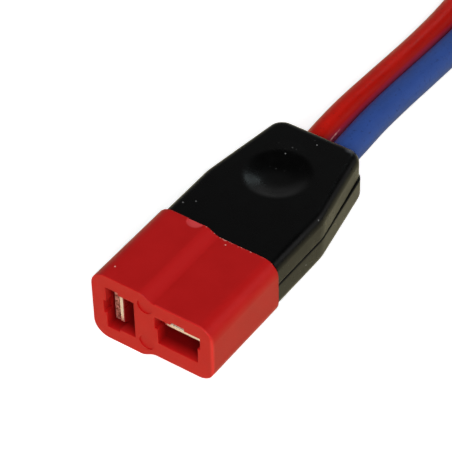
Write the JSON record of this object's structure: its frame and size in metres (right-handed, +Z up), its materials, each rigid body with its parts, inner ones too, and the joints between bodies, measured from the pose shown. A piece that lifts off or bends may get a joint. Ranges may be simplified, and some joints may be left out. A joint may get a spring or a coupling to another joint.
{
  "type": "t-plug connector",
  "caption": "Two-pole T-plug socket with a stepped red housing, a black two-shell cover with a thumb hollow, and a short pigtail of a red and a blue lead.",
  "frame": {"origin": "middle of the connector's base, on the surface that it lies on, without the leads", "axes": "+Z up, -Y out of the mating face, +Y along the leads, -X towards the thicker side with the upright socket"},
  "size_m": [0.0188, 0.1296, 0.0094],
  "materials": {
    "housing_nylon": "satin moulded nylon, red",
    "cover_plastic": "semi-gloss moulded plastic, black",
    "contact_plating": "pale gold plating",
    "spring_bronze": "bare spring bronze",
    "red_insulation": "smooth silicone rubber, red",
    "blue_insulation": "smooth silicone rubber, blue",
    "tinned_strands": "tinned copper strands",
    "solder": "bright solder"
  },
  "bodies": {
    "root": {"housing": "housing_nylon", "upright_contact": "contact_plating", "flat_contact": "contact_plating", "upright_spring": "spring_bronze", "flat_spring": "spring_bronze", "upper_cover": "cover_plastic", "lower_cover": "cover_plastic", "red_lead": "red_insulation", "blue_lead": "blue_insulation", "red_lead_core": "tinned_strands", "blue_lead_core": "tinned_strands", "red_solder_joint": "solder", "blue_solder_joint": "solder", "red_lead_tip": "tinned_strands", "blue_lead_tip": "tinned_strands"}
  },
  "joints": []
}
